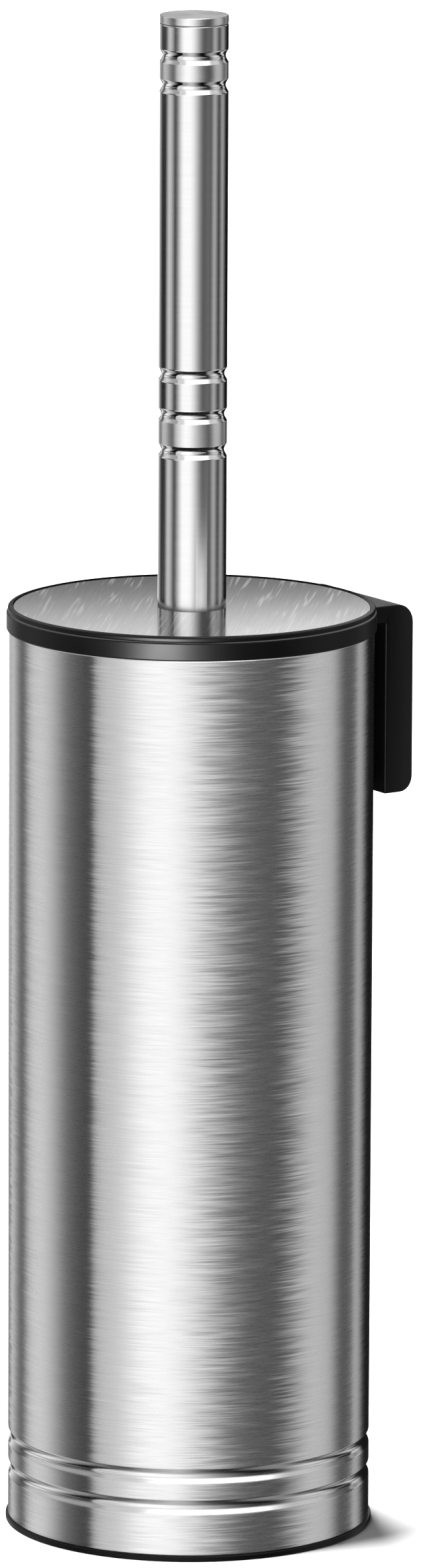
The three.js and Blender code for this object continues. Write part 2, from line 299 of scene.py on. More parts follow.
class Tree:
    """A node tree that is built with short calls."""

    def __init__(self, owner):
        owner.use_nodes = True
        self.nodes = owner.node_tree.nodes
        self.links = owner.node_tree.links
        self.nodes.clear()

    def add(self, kind, inputs=(), **settings):
        node = self.nodes.new(kind)
        for name, value in settings.items():
            setattr(node, name, value)
        for key, value in dict(inputs).items():
            self.set(node, key, value)
        return node

    def set(self, node, key, value):
        if isinstance(value, bpy.types.NodeSocket):
            self.links.new(value, node.inputs[key])
        else:
            node.inputs[key].default_value = value

    def math(self, operation, *values):
        return self.add("ShaderNodeMath", enumerate(values), operation=operation).outputs[0]

    def product(self, first, *others):
        for other in others:
            first = self.math("MULTIPLY", first, other)
        return first

    def total(self, first, *others):
        for other in others:
            first = self.math("ADD", first, other)
        return first

    def vector(self, operation, *values, scale=None):
        node = self.add("ShaderNodeVectorMath", enumerate(values), operation=operation)
        if scale is not None:
            self.set(node, "Scale", scale)
        return node.outputs["Value" if operation == "DOT_PRODUCT" else "Vector"]

    def ramp(self, value, start, end, low_end=0.0, high_end=1.0):
        """A smooth step from low_end to high_end as the value goes from start to end."""
        inputs = {"Value": value, 1: start, 2: end, 3: low_end, 4: high_end}
        return self.add("ShaderNodeMapRange", inputs, interpolation_type="SMOOTHSTEP").outputs[0]

    def band(self, value, start, full, fading, end):
        """Nothing up to start, one from full to fading, and nothing again from end."""
        return self.product(self.ramp(value, start, full), self.ramp(value, fading, end, 1.0, 0.0))

    def noise(self, vector, detail=2.0, roughness=0.5):
        inputs = {"Vector": vector, "Scale": 1.0, "Detail": detail, "Roughness": roughness}
        return self.add("ShaderNodeTexNoise", inputs).outputs["Fac"]

    def mix(self, factor, value_a, value_b):
        return self.add("ShaderNodeMix", {"Factor": factor, "A": value_a, "B": value_b}).outputs[0]

    def shade(self, value, dark, light):
        """A colour between two tints."""
        inputs = {0: value, 6: (*dark, 1), 7: (*light, 1)}
        return self.add("ShaderNodeMix", inputs, data_type="RGBA").outputs[2]


def new_material(name):
    material = bpy.data.materials.new(name)
    tree = Tree(material)
    shader = tree.add("ShaderNodeBsdfPrincipled")
    tree.add("ShaderNodeOutputMaterial", {"Surface": shader.outputs[0]})
    return material, tree, shader


def object_point(tree, scale):
    """The point on the piece, in metres, times a scale for each axis."""
    point = tree.add("ShaderNodeTexCoord").outputs["Object"]
    return tree.vector("MULTIPLY", point, scale)


def tinted(colour, factor):
    return [min(1, channel * factor) for channel in colour]


# ---------------------------------------------------------------- materials

COARSE_STRIPS = 3
COARSE_BEARING = math.radians(-4)  # where the first of those strips is centred


def turned_steel(name, tone, roughness, anisotropy, waver, streak, grain=0.06):
    """Steel brushed round the Z axis. The grain blurs reflections up and down, and waver shifts them
    sideways from streak to streak. A streak has a length and a height in millimetres."""
    material, tree, shader = new_material(name)
    around, upward = 1 / (streak[0] * MM), 1 / (streak[1] * MM)
    coarse = tree.noise(object_point(tree, (around, around, upward)), 1.0, 0.6)
    clusters = tree.noise(object_point(tree, (around * 0.6, around * 0.6, upward * 0.2)), 1.0)
    fine = tree.noise(object_point(tree, (around * 2, around * 2, upward * 4.5)), 2.0)
    patches = tree.noise(object_point(tree, (20, 20, 9)), 1.0)

    # Strips that run up the tube are brushed more coarsely than the rest, and patches bend their edges.
    place = tree.add("ShaderNodeSeparateXYZ", {0: tree.add("ShaderNodeTexCoord").outputs["Object"]})
    bearing = tree.math("ARCTAN2", place.outputs[1], place.outputs[0])
    bearing = tree.total(bearing, tree.product(patches, 0.5))
    phase = tree.product(tree.math("SUBTRACT", bearing, COARSE_BEARING), COARSE_STRIPS)
    strength = tree.ramp(tree.math("COSINE", phase), -0.3, 0.9, 0.2, 1.5)

    # The normal tilts sideways, by a different amount in each streak.
    tilt = tree.total(tree.product(coarse, 0.8), tree.product(clusters, 0.2))
    tilt = tree.product(tree.math("SUBTRACT", tilt, 0.5), 2 * waver, strength)
    normal = tree.add("ShaderNodeNewGeometry").outputs["Normal"]
    sideways = tree.vector("CROSS_PRODUCT", (0, 0, 1), normal)
    shifted = tree.vector("ADD", normal, tree.vector("SCALE", sideways, scale=tilt))
    tree.set(shader, "Normal", tree.vector("NORMALIZE", shifted))

    shine = tree.ramp(tree.total(tree.product(coarse, 0.5), tree.product(fine, 0.5)), 0.3, 0.7)
    tree.set(shader, "Base Color", tree.shade(shine, tinted(tone, 1 - grain), tinted(tone, 1 + grain)))
    tree.set(shader, "Roughness", tree.ramp(fine, 0.3, 0.7, roughness * 0.92, roughness * 1.08))
    tree.set(shader, "Metallic", 1.0)
    tree.set(shader, "Anisotropic", anisotropy)
    tree.set(shader, "Anisotropic Rotation", 0.25)
    tangent = tree.add("ShaderNodeTangent", direction_type="RADIAL", axis="Z")
    tree.set(shader, "Tangent", tangent.outputs[0])
    return material


def straight_steel(name, tone, roughness, direction, crown):
    """Steel brushed in straight lines along a level direction, with clusters of brighter scratches. The
    sheet is slightly crowned: crown is how far the normal leans out for each metre from the middle."""
    material, tree, shader = new_material(name)
    point = tree.add("ShaderNodeTexCoord").outputs["Object"]
    outward = tree.vector("MULTIPLY", point, (crown, crown, 0))
    normal = tree.add("ShaderNodeNewGeometry").outputs["Normal"]
    tree.set(shader, "Normal", tree.vector("NORMALIZE", tree.vector("ADD", normal, outward)))
    along_line = tree.vector("DOT_PRODUCT", point, tuple(direction))
    across_line = tree.vector("DOT_PRODUCT", point, (-direction.y, direction.x, 0))

    def lines(length, width, detail):
        """Noise drawn out along the brushing, in marks of a length and a width in millimetres."""
        coordinates = tree.add("ShaderNodeCombineXYZ", {
            0: tree.product(along_line, 1 / (length * MM)),
            1: tree.product(across_line, 1 / (width * MM)),
        })
        return tree.noise(coordinates.outputs[0], detail)

    grain = tree.ramp(lines(30, 0.35, 2.0), 0.3, 0.7, 0.0, 0.3)
    clusters = tree.ramp(lines(30, 8.0, 1.0), 0.4, 0.6)
    scratches = tree.product(tree.ramp(lines(26, 0.9, 1.0), 0.47, 0.68), clusters)
    shine = tree.total(grain, tree.product(scratches, 0.7))
    tree.set(shader, "Base Color", tree.shade(shine, tinted(tone, 0.9), tinted(tone, 1.4)))
    tree.set(shader, "Roughness", tree.ramp(scratches, 0, 1, roughness, roughness * 1.5))
    tree.set(shader, "Metallic", 1.0)
    return material


def moulded(name, colour, roughness, grain_size, bump, specular=0.5):
    """Moulded plastic or rubber with a fine even grain."""
    material, tree, shader = new_material(name)
    scale = 1 / (grain_size * MM)
    grain = tree.noise(object_point(tree, (scale, scale, scale)), 3.0, 0.6)
    cloud = tree.noise(object_point(tree, (45, 45, 45)), 2.0)
    tree.set(shader, "Base Color", tree.shade(cloud, tinted(colour, 0.85), tinted(colour, 1.15)))
    tree.set(shader, "Roughness", tree.ramp(cloud, 0.3, 0.7, roughness * 0.9, roughness * 1.1))
    tree.set(shader, "Specular IOR Level", specular)
    relief = tree.add("ShaderNodeBump", {"Height": grain, "Strength": bump, "Distance": 0.02 * MM})
    tree.set(shader, "Normal", relief.outputs[0])
    return material


def nylon():
    """White nylon filament that lets some light through."""
    material, tree, shader = new_material("bristle_nylon")
    cloud = tree.noise(object_point(tree, (180, 180, 180)), 1.0)
    tree.set(shader, "Base Color", tree.shade(cloud, (0.78, 0.79, 0.78), (0.93, 0.93, 0.91)))
    tree.set(shader, "Roughness", 0.38)
    tree.set(shader, "Subsurface Weight", 0.25)
    tree.set(shader, "Subsurface Radius", (0.001, 0.001, 0.001))
    return material


def grey(value):
    return (value, value, value)


lid_brushing = round_point(1, VIEW_AZIMUTH + math.radians(84), 0)  # a level direction

body_steel = turned_steel("body_steel", grey(0.62), 0.27, 1.0, waver=0.14, streak=(13, 0.36), grain=0.07)
bead_steel = turned_steel("bead_steel", grey(0.62), 0.16, 0.9, waver=0.06, streak=(13, 0.36))
satin_steel = turned_steel("satin_steel", grey(0.64), 0.3, 0.5, waver=0.03, streak=(14, 0.7), grain=0.03)
polished_steel = turned_steel("polished_steel", grey(0.68), 0.09, 0.4, waver=0.006, streak=(18, 1.2),
                              grain=0.015)
zinc = turned_steel("zinc", (0.55, 0.56, 0.57), 0.3, 0.7, waver=0.02, streak=(5, 0.4))
lid_steel = straight_steel("lid_steel", grey(0.6), 0.13, lid_brushing, crown=0.45)
black_plastic = moulded("black_plastic", grey(0.002), 0.36, grain_size=0.25, bump=0.2, specular=0.13)
bucket_plastic = moulded("bucket_plastic", (0.03, 0.03, 0.032), 0.5, grain_size=0.5, bump=0.4)
core_plastic = moulded("core_plastic", (0.02, 0.02, 0.021), 0.45, grain_size=0.4, bump=0.3)
rubber = moulded("rubber", grey(0.015), 0.75, grain_size=0.6, bump=0.8)
bristle_nylon = nylon()


# ---------------------------------------------------------------- holder

def grooved(radius, start, end, heights, half_height, depth, shoulder, root):
    """A wall from bottom to top with rounded grooves in it. Shoulder and root are the grooves' roundings."""
    wall = [(radius, start, 0.35)]
    for z in heights:
        wall += [(radius, z - half_height, shoulder), (radius - depth, z, root),
                 (radius, z + half_height, shoulder)]
    return wall + [(radius, end, 0.35)]


def make_body():
    beads = (BEAD_HEIGHTS, BEAD_HALF_HEIGHT, BEAD_DEPTH, 0.8, 2.0)
    outer = grooved(BODY_R, BODY_LOW, BODY_HIGH, *beads)
    inner = grooved(BODY_R - TUBE_WALL, BODY_LOW, BODY_HIGH, *beads)
    shell = turned(softened(outer + inner[::-1]), BODY_SIDES)
    made = piece("body_shell", shell, "holder", "body_tube", "brushed_steel", body_steel, bead_steel)

    def in_bead(height):
        return any(abs(height - bead) < BEAD_HALF_HEIGHT for bead in BEAD_HEIGHTS)
    use_second_material(made, in_bead)


def make_foot():
    """The cap under the tube. Its rim stands as proud of the tube as the collar does."""
    recess_r, recess_top = high("antislip_pad").x + 0.3, 1.5
    rim_low = 0.08
    floor_top = 3.0
    spigot_top = high("base_cap").z
    spigot_inner = SPIGOT_R - SPIGOT_WALL
    cap = softened([
        (0, recess_top), (recess_r, recess_top, 0.2), (recess_r, rim_low, 0.05), (COLLAR_R, rim_low, 0.3),
        (COLLAR_R, BODY_LOW, 0.35), (SPIGOT_R, BODY_LOW, 0.1), (SPIGOT_R, spigot_top, 0.5),
        (spigot_inner, spigot_top, 0.5), (spigot_inner, floor_top, 0.8), (0, floor_top),
    ], closed=False)
    piece("foot_cap", turned(cap, BODY_SIDES), "holder", "base_cap", "black_plastic", black_plastic)


def make_pad():
    """The rubber pad, with rings of tread on its underside."""
    radius, top = high("antislip_pad").x, high("antislip_pad").z + SEAT
    rings, half_width, depth, slope = 8, 1.2, 0.25, 0.2
    outline = [(0, depth)]
    for ring in range(1, rings + 1):
        middle = ring * radius / (rings + 1)
        outline += [
            (middle - half_width - slope, depth, 0.1), (middle - half_width, 0, 0.1),
            (middle + half_width, 0, 0.1), (middle + half_width + slope, depth, 0.1),
        ]
    rim = radius - 1.3
    outline += [(rim - slope, depth, 0.1), (rim, 0, 0.1), (radius, 0, 0.25), (radius, top, 0.2), (0, top)]
    pad = turned(softened(outline, closed=False), 192)
    piece("pad", pad, "holder", "antislip_pad", "rubber", rubber)


def crowned(mesh, start_y, end_y, lean):
    """The hanger with its two cheeks leaning in, more and more from start_y to end_y."""
    shape = bmesh.new()
    shape.from_mesh(mesh)
    steps = 8
    last_y = end_y - 0.6
    for step in range(steps + 1):
        cut = Vector((0, start_y + (last_y - start_y) * step / steps, 0)) * MM
        bmesh.ops.bisect_plane(shape, geom=shape.verts[:] + shape.edges[:] + shape.faces[:],
                               plane_co=cut, plane_no=(0, 1, 0))
    for vertex in shape.verts:
        reach = vertex.co.y - start_y * MM
        if reach > 0:
            inward = math.tan(lean) / 2 * reach * reach / ((end_y - start_y) * MM)
            vertex.co.x -= math.copysign(inward, vertex.co.x)
    shape.to_mesh(mesh)
    shape.free()
    return mesh


def hanger():
    """The block on the collar's back, with a sleeve for the wall plate that is open below and behind."""
    half_width = 19.2
    inside_y, front_y, back_y = 40, 48.4, high("collar").y
    bottom, top = low("collar").z, COLLAR_TOP - 0.3
    outline = softened([
        (inside_y, COLLAR_LOW), (front_y, COLLAR_LOW, 0.4), (front_y, bottom, 0.4), (back_y, bottom, 4.0),
        (back_y, top, 5.2), (inside_y, top),
    ])
    whole = eased(extruded(outline, 2 * half_width, in_side_view(-half_width)), 0.55)
    whole = crowned(whole, front_y + 1.5, back_y, math.radians(10))
    bore = turned([(0, 230), (47.6, 230), (47.6, 250), (0, 250)], BODY_SIDES)
    sleeve = block(15.2, 50.4, 55.4, bottom - 1, 239.4)
    slot = block(9.2, 55.0, back_y + 1, bottom - 1, 236.0)
    return combined(whole, [bore, sleeve, slot], "DIFFERENCE")


def make_collar():
    """The ring on the tube. The lid sits on its upper step and the bucket's rim hangs on its lower one."""
    lid_step_r, lid_step = 46.95, 243.2
    bucket_step_r, bucket_step = 45.7, 241.4
    mouth_r = 43.9
    spigot_low = 228.0
    spigot_inner = SPIGOT_R - SPIGOT_WALL
    ring = turned(softened([
        (COLLAR_R, COLLAR_LOW, 0.45), (COLLAR_R, COLLAR_TOP, 0.3),
        (lid_step_r, COLLAR_TOP, 0.3), (lid_step_r, lid_step, 0.2),
        (bucket_step_r, lid_step, 0.3), (bucket_step_r, bucket_step, 0.2),
        (mouth_r, bucket_step, 0.4), (mouth_r, COLLAR_LOW, 0.3),
        (spigot_inner, COLLAR_LOW, 0.3), (spigot_inner, spigot_low, 0.4),
        (SPIGOT_R, spigot_low, 0.5), (SPIGOT_R, COLLAR_LOW, 0.1),
    ]), BODY_SIDES)
    whole = combined(ring, [hanger()], "UNION")
    piece("collar_and_hanger", whole, "holder", "collar", "black_plastic", black_plastic)


def make_wall_plate():
    """A T-section plate with two countersunk screw holes."""
    lowest, highest = low("wall_plate"), high("wall_plate")
    half, neck_half, shoulder_y = highest.x, 8.9, 55.1
    outline = [
        (-half, lowest.y), (half, lowest.y), (half, shoulder_y), (neck_half, shoulder_y),
        (neck_half, highest.y), (-neck_half, highest.y), (-neck_half, shoulder_y), (-half, shoulder_y),
    ]
    plate = eased(extruded(outline, highest.z - lowest.z, in_plan(lowest.z)), 0.4)
    head_r, hole_r = 4.5, 2.3
    countersink = [(0, -1), (head_r, -1), (head_r, 0), (hole_r, head_r - hole_r), (hole_r, 9), (0, 9)]
    towards_wall = Matrix.Rotation(math.radians(-90), 4, "X")
    cutters = []
    for height in (205.0, 225.0):
        hole = turned(countersink, HOLE_SIDES)
        hole.transform(Matrix.Translation((0, lowest.y * MM, height * MM)) @ towards_wall)
        cutters.append(hole)
    plate = combined(plate, cutters, "DIFFERENCE")
    piece("wall_bracket", plate, "wall_plate", "wall_plate", "black_plastic", black_plastic)


def make_bucket():
    rim_r, rim_top = high("inner_bucket").x, high("inner_bucket").z
    rim_low = rim_top - 1.5
    floor = low("inner_bucket").z
    outline = softened([
        (0, floor + 0.6), (30, floor + 0.6, 0.5), (31, floor, 0.5), (36.5, floor, 2.0),
        (40.6, floor + 2.5, 2.0), (43.6, rim_low, 0.3), (rim_r, rim_low, 0.5), (rim_r, rim_top, 0.5),
        (42.3, rim_top, 0.8), (39.4, floor + 4.0, 2.5), (36, floor + 1.2, 2.0), (0, floor + 1.2),
    ], closed=False)
    piece("bucket", turned(outline, 216), "bucket", "inner_bucket", "bucket_plastic", bucket_plastic)


# ---------------------------------------------------------------- lid and handle

def make_lid():
    """The moulded lid, with a skirt that centres it in the collar, and the steel disc let into its top."""
    rim_low = COLLAR_TOP + 0.22
    step_r, web_low = 46.6, 243.5
    skirt_r, skirt_inner, skirt_low = 41.9, 40.5, 236.0
    boss_r, boss_low = 10, 241.6
    hole_r = STUD_R + 0.2
    pocket_r, pocket_low = DISC_R + 0.12, DISC_TOP - 0.6
    moulding = softened([
        (boss_r, boss_low, 0.4), (boss_r, web_low, 0.5), (skirt_inner, web_low, 0.5),
        (skirt_inner, skirt_low, 0.5), (skirt_r, skirt_low, 0.5), (skirt_r, web_low, 0.3),
        (step_r, web_low, 0.3), (step_r, rim_low, 0.1), (LID_R, rim_low, 0.3), (LID_R, LID_TOP - 0.35, 0.4),
        (pocket_r, LID_TOP, 0.1), (pocket_r, pocket_low), (hole_r, pocket_low), (hole_r, boss_low),
    ])
    piece("lid_moulding", turned(moulding, BODY_SIDES), "brush", "lid_body", "black_plastic", black_plastic)

    disc_hole_r, disc_low = STUD_R + 0.3, DISC_TOP - 0.55
    disc = softened([
        (disc_hole_r, disc_low), (DISC_R, disc_low), (DISC_R, DISC_TOP, 0.2), (disc_hole_r, DISC_TOP),
    ])
    piece("lid_plate", turned(disc, BODY_SIDES), "brush", "lid_disc", "brushed_steel", lid_steel)


def make_handle():
    """The grooved tube, its closed end above a fine seam, and the threaded insert in its foot."""
    half_seam = 0.06
    bore = HANDLE_R - HANDLE_WALL
    wall = grooved(HANDLE_R, HANDLE_LOW, SEAM - half_seam, GROOVE_HEIGHTS, GROOVE_HALF_HEIGHT,
                   GROOVE_DEPTH, 0.5, 1.9)
    wall[0] = (HANDLE_R, HANDLE_LOW)
    wall[-1] = (HANDLE_R, SEAM - half_seam, 0.25)
    grip = turned(softened(wall + [(bore, SEAM - half_seam), (bore, HANDLE_LOW)]), HANDLE_SIDES)
    made = piece("handle_grip", grip, "brush", "handle_tube", "polished_steel", polished_steel, satin_steel)
    satin_bands = [GROOVE_HEIGHTS[0:2], GROOVE_HEIGHTS[3:5]]

    def in_satin(height):
        return any(lower + GROOVE_HALF_HEIGHT < height < upper - GROOVE_HALF_HEIGHT
                   for lower, upper in satin_bands)
    use_second_material(made, in_satin)

    plug_r = bore - 0.2
    end_low = 394.5
    end = softened([
        (0, end_low), (plug_r, end_low, 0.5), (plug_r, SEAM + half_seam), (HANDLE_R, SEAM + half_seam, 0.25),
        (HANDLE_R, HANDLE_TOP, 0.45), (0, HANDLE_TOP),
    ], closed=False)
    piece("handle_end", turned(end, HANDLE_SIDES), "brush", "handle_cap", "polished_steel", satin_steel)

    plug_low, plug_high = low("handle_plug").z, high("handle_plug").z
    hole_r = STUD_R + 0.2
    plug = softened([
        (plug_r, plug_low, 0.4), (plug_r, plug_high, 0.4), (hole_r, plug_high, 0.4), (hole_r, plug_low, 0.4),
    ])
    piece("handle_insert", turned(plug, FASTENER_SIDES), "brush", "handle_plug", "fastener_steel", zinc)


def make_washer(name, node, slot, material):
    bottom, top, radius = low(node).z - SEAT / 2, high(node).z + SEAT / 2, high(node).x
    hole_r = STUD_R + 0.25
    outline = softened([(radius, bottom, 0.2), (radius, top, 0.2), (hole_r, top, 0.1), (hole_r, bottom, 0.1)])
    piece(name, turned(outline, FASTENER_SIDES), "brush", node, slot, material)


def make_nut():
    """A hexagon with its corners turned down at both ends, and a plain hole."""
    bottom, top = low("lid_nut").z, high("lid_nut").z
    flat = high("lid_nut").y
    corner = flat / math.cos(math.pi / 6)
    corners = [round_point(corner, math.radians(60 * index), 0) for index in range(6)]
    hexagon = extruded([tuple(point.xy) for point in corners], top - bottom, in_plan(bottom))
    wide, chamfer = flat * 1.2, 0.7
    cone = turned([
        (0, bottom), (flat, bottom), (wide, bottom + chamfer), (wide, top - chamfer), (flat, top), (0, top),
    ], FASTENER_SIDES)
    hole_r = STUD_R + 0.05
    hole = turned([(0, bottom - 1), (hole_r, bottom - 1), (hole_r, top + 1), (0, top + 1)], HOLE_SIDES)
    nut = combined(combined(hexagon, [cone], "INTERSECT"), [hole], "DIFFERENCE")
    piece("hex_nut", nut, "brush", "lid_nut", "fastener_steel", zinc)


def threaded(start, end, sides):
    """Rings for a stretch of threaded stud, from bottom to top. The thread fades out at both ends."""
    pitch, depth, steps = 1.0, 0.45, 8
    rings = []
    count = int((end - start) / pitch * steps)
    for row in range(count + 1):
        height = start + (end - start) * row / count
        fade = min(1, (height - start) / pitch, (end - height) / pitch)
        ring = []
        for side in range(sides):
            phase = (height / pitch - side / sides) % 1
            cut = fade * abs(2 * phase - 1) + (1 - fade) * 0.5
            ring.append((STUD_R - depth * cut, height))
        rings.append(ring)
    return rings


def make_stem():
    """The rod under the lid, with a threaded stud at each end."""
    sides = 48
    bottom, top = low("stem").z, high("stem").z
    rod_low, rod_high, rod_r = 96.0, 232.2, high("stem").x
    neck_r = STUD_R - 0.2
    rod = softened([
        (neck_r, rod_low - 0.7), (neck_r, rod_low, 0.1), (rod_r, rod_low, 0.4),
        (rod_r, rod_high, 0.4), (neck_r, rod_high, 0.1), (neck_r, rod_high + 0.5),
    ], closed=False)
    rings = [[(0.4 * STUD_R, bottom)] * sides, [(0.8 * STUD_R, bottom + 0.3)] * sides]
    rings += threaded(bottom + 0.5, rod_low - 1.0, sides)
    rings += [[point] * sides for point in rod]
    rings += threaded(rod_high + 0.7, top - 0.5, sides)
    rings += [[(0.8 * STUD_R, top - 0.3)] * sides, [(0.4 * STUD_R, top)] * sides]
    piece("stem_rod", stacked(rings), "brush", "stem", "polished_steel", polished_steel)


# ---------------------------------------------------------------- brush head

CORE_R = high("head_core").x
ROWS = sorted((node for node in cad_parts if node.startswith("tuft_row")), key=lambda node: low(node).z)
TUFTS = 12
TIP_TUFTS = 10
FILAMENTS = 30
FILAMENT_R = 0.17


def make_core():
    bottom, top = low("head_core").z, high("head_core").z
    neck_r, shoulder = 7.5, 89.5
    socket_r, socket_depth = STUD_R + 0.25, 14
    outline = softened([
        (0, bottom), (5.5, bottom, 1.5), (CORE_R, bottom + 3, 1.5),
        (CORE_R, shoulder, 0.8), (neck_r, shoulder + 1.5, 0.8),
        (neck_r, top, 0.6), (socket_r, top, 0.3), (socket_r, top - socket_depth), (0, top - socket_depth),
    ], closed=False)
    core = turned(outline, FASTENER_SIDES)
    piece("brush_core", core, "brush_head", "head_core", "core_plastic", core_plastic)


def filament(points, faces, root, tip, sag):
    """Adds one thin bent rod from root to tip."""
    sides, rings = 4, 5
    axis = (tip - root).normalized()
    side_a = axis.orthogonal().normalized()
    side_b = axis.cross(side_a)
    base = len(points)
    for ring in range(rings):
        share = ring / (rings - 1)
        centre = root.lerp(tip, share) + sag * (share * share)
        radius = FILAMENT_R * (1 if ring < rings - 1 else 0.55)
        for side in range(sides):
            angle = 2 * math.pi * side / sides
            points.append(centre + (side_a * math.cos(angle) + side_b * math.sin(angle)) * radius)
    for ring in range(rings - 1):
        start, above = base + ring * sides, base + (ring + 1) * sides
        for side in range(sides):
            following = (side + 1) % sides
            faces.append((start + side, start + following, above + following, above + side))
    faces.append(tuple(base + side for side in reversed(range(sides))))
    faces.append(tuple(base + (rings - 1) * sides + side for side in range(sides)))


def make_tuft_row(index, node, chance):
    """A ring of tufts that stand straight out and fan out towards their tips."""
    tuft_r = 1.5
    root_r = CORE_R - 0.6
    middle = (low(node).z + high(node).z) / 2
    reach = max(high(node).x, high(node).y) - 0.2
    turn = 0 if index % 2 else 0.5
    points, faces = [], []
    for tuft in range(TUFTS):
        angle = 2 * math.pi * (tuft + turn) / TUFTS
        for _ in range(FILAMENTS):
            way = chance.uniform(0, 2 * math.pi)
            off = tuft_r * math.sqrt(chance.random())
            fan = 2.6 * off / tuft_r + chance.gauss(0, 0.35)
            tip_r = reach - abs(chance.gauss(0, 0.25))
            tip_angle = angle + (off + fan * 1.3) * math.cos(way) / reach
            root = round_point(root_r, angle + off * math.cos(way) / CORE_R, middle + off * math.sin(way))
            tip = round_point(tip_r, tip_angle, middle + (off + fan * 0.75) * math.sin(way))
            sag = Vector((chance.gauss(0, 0.25), chance.gauss(0, 0.25), chance.gauss(-0.1, 0.3)))
            filament(points, faces, root, tip, sag * 0.6)
    piece(f"bristles_{index + 1}", new_mesh(points, faces), "brush_head", node, "bristle_nylon",
          bristle_nylon)


def make_tip_tufts(chance):
    """Tufts round the core's nose, which slope down and outward."""
    tuft_r, root_r, fan = 1.3, 7, 3.2
    lowest, highest = low("tip_tufts"), high("tip_tufts")
    points, faces = [], []
    for tuft in range(TIP_TUFTS):
        angle = 2 * math.pi * tuft / TIP_TUFTS
        for _ in range(FILAMENTS):
            way = chance.uniform(0, 2 * math.pi)
            off = tuft_r * math.sqrt(chance.random())
            share = 0.5 + 0.5 * off * math.sin(way) / tuft_r
            tip_r = highest.x - 0.4 - fan * (1 - share) - abs(chance.gauss(0, 0.2))
            root_z = highest.z - 1.8 + off * math.sin(way) * 0.7
            tip_angle = angle + off * math.cos(way) * fan / highest.x
            root = round_point(root_r, angle + off * math.cos(way) / root_r, root_z)
            tip = round_point(tip_r, tip_angle, lowest.z + 0.4 + 4.6 * share)
            filament(points, faces, root, tip, Vector((0, 0, chance.gauss(0, 0.1))))
    piece("bristles_tip", new_mesh(points, faces), "brush_head", "tip_tufts", "bristle_nylon", bristle_nylon)


make_body()
make_foot()
make_pad()
make_collar()
make_wall_plate()
make_bucket()
make_lid()
make_handle()
make_washer("seal_washer", "rubber_washer", "rubber", rubber)
make_washer("clamp_washer", "steel_washer", "fastener_steel", zinc)
make_nut()
make_stem()
make_core()
tuft_chance = random.Random(7)
for row_index, row_node in enumerate(ROWS):
    make_tuft_row(row_index, row_node, tuft_chance)
make_tip_tufts(tuft_chance)


# ---------------------------------------------------------------- studio

# Soft boxes that stand round the object, as seen in polished metal, with dark gaps between them. Each has
# the azimuth where it starts, the width of its soft start, the azimuth where it ends, the width of its soft
# end, and its brightness. Azimuths are in degrees, from the camera's side towards its right.
TALL_BOXES = [
    (-159, 4, -152, 45, 1.0),  # a narrow one, behind the object on the left
    (-128, 14, -98, 30, 0.77),  # on the left
    (-64, 2, 14, 65, 0.67),  # the large one behind the camera
    (-38, 25, 4, 57, 0.4),  # its brighter middle
    (73, 36, 107, 16, 0.6),  # on the right
    (129, 2, 142, 11, 0.52),  # a narrow one, behind the object on the right
]
# Where the handle, which is polished, mirrors the studio to the camera, they are lit like this instead.
LEVEL_BOXES = [
    (-211, 2, -154, 66, 0.8),
    (-99, 22, -73, 29, 0.5),
    (-48, 34, 12, 52, 0.86),
    (29, 45, 62, 17, 0.12),
    (69, 24, 78, 39, 0.6),
    (104, 26, 122, 32, 0.33),
]
SPILL = 0.005
BACK_PANEL = 0.75
TOP_PANEL = 1.3
CEILING = 0.31
STUDIO_STRENGTH = 1.6


def boxes(tree, azimuth, layout):
    light = SPILL
    for start, start_soft, end, end_soft, brightness in layout:
        shape = tree.band(azimuth, start - start_soft / 2, start + start_soft / 2,
                          end - end_soft / 2, end + end_soft / 2)
        light = tree.total(tree.product(shape, brightness), light)
    return light


def side_light(tree, azimuth, elevation):
    """The soft boxes round the object. They dim towards the floor and the ceiling."""
    tall = tree.product(boxes(tree, azimuth, TALL_BOXES),
                        tree.ramp(elevation, -50, -32, 0.45, 1.0),
                        tree.ramp(elevation, 8, 24, 1.0, 0.4))
    level = boxes(tree, azimuth, LEVEL_BOXES)
    light = tree.mix(tree.band(elevation, -11.6, -10.6, -6.4, -5.4), tall, level)
    # The same a little above the horizon, for the handle as the lid mirrors it.
    not_behind = tree.ramp(tree.math("ABSOLUTE", azimuth), 150, 165, 1.0, 0.0)
    mirrored = tree.product(tree.band(elevation, 9, 10, 12, 13), not_behind)
    return tree.mix(mirrored, light, level)


def back_light(tree, azimuth, elevation, rightward):
    """A panel behind the object, which the lid mirrors. It is brighter higher up and on the right."""
    return tree.product(tree.ramp(tree.math("ABSOLUTE", azimuth), 162, 174),
                        tree.ramp(elevation, 8, 13, 0.06, BACK_PANEL),
                        tree.band(elevation, 0, 1, 18, 30),
                        tree.ramp(rightward, -0.06, 0.08, 0.6, 1.28))


def top_light(tree, azimuth, elevation):
    """A panel above and behind the camera, and a faint ceiling."""
    panel = tree.product(tree.band(azimuth, -40, -10, 50, 80),
                         tree.band(elevation, 25, 38, 65, 80), TOP_PANEL)
    return tree.total(panel, tree.ramp(elevation, 12, 32, 0.0, CEILING))


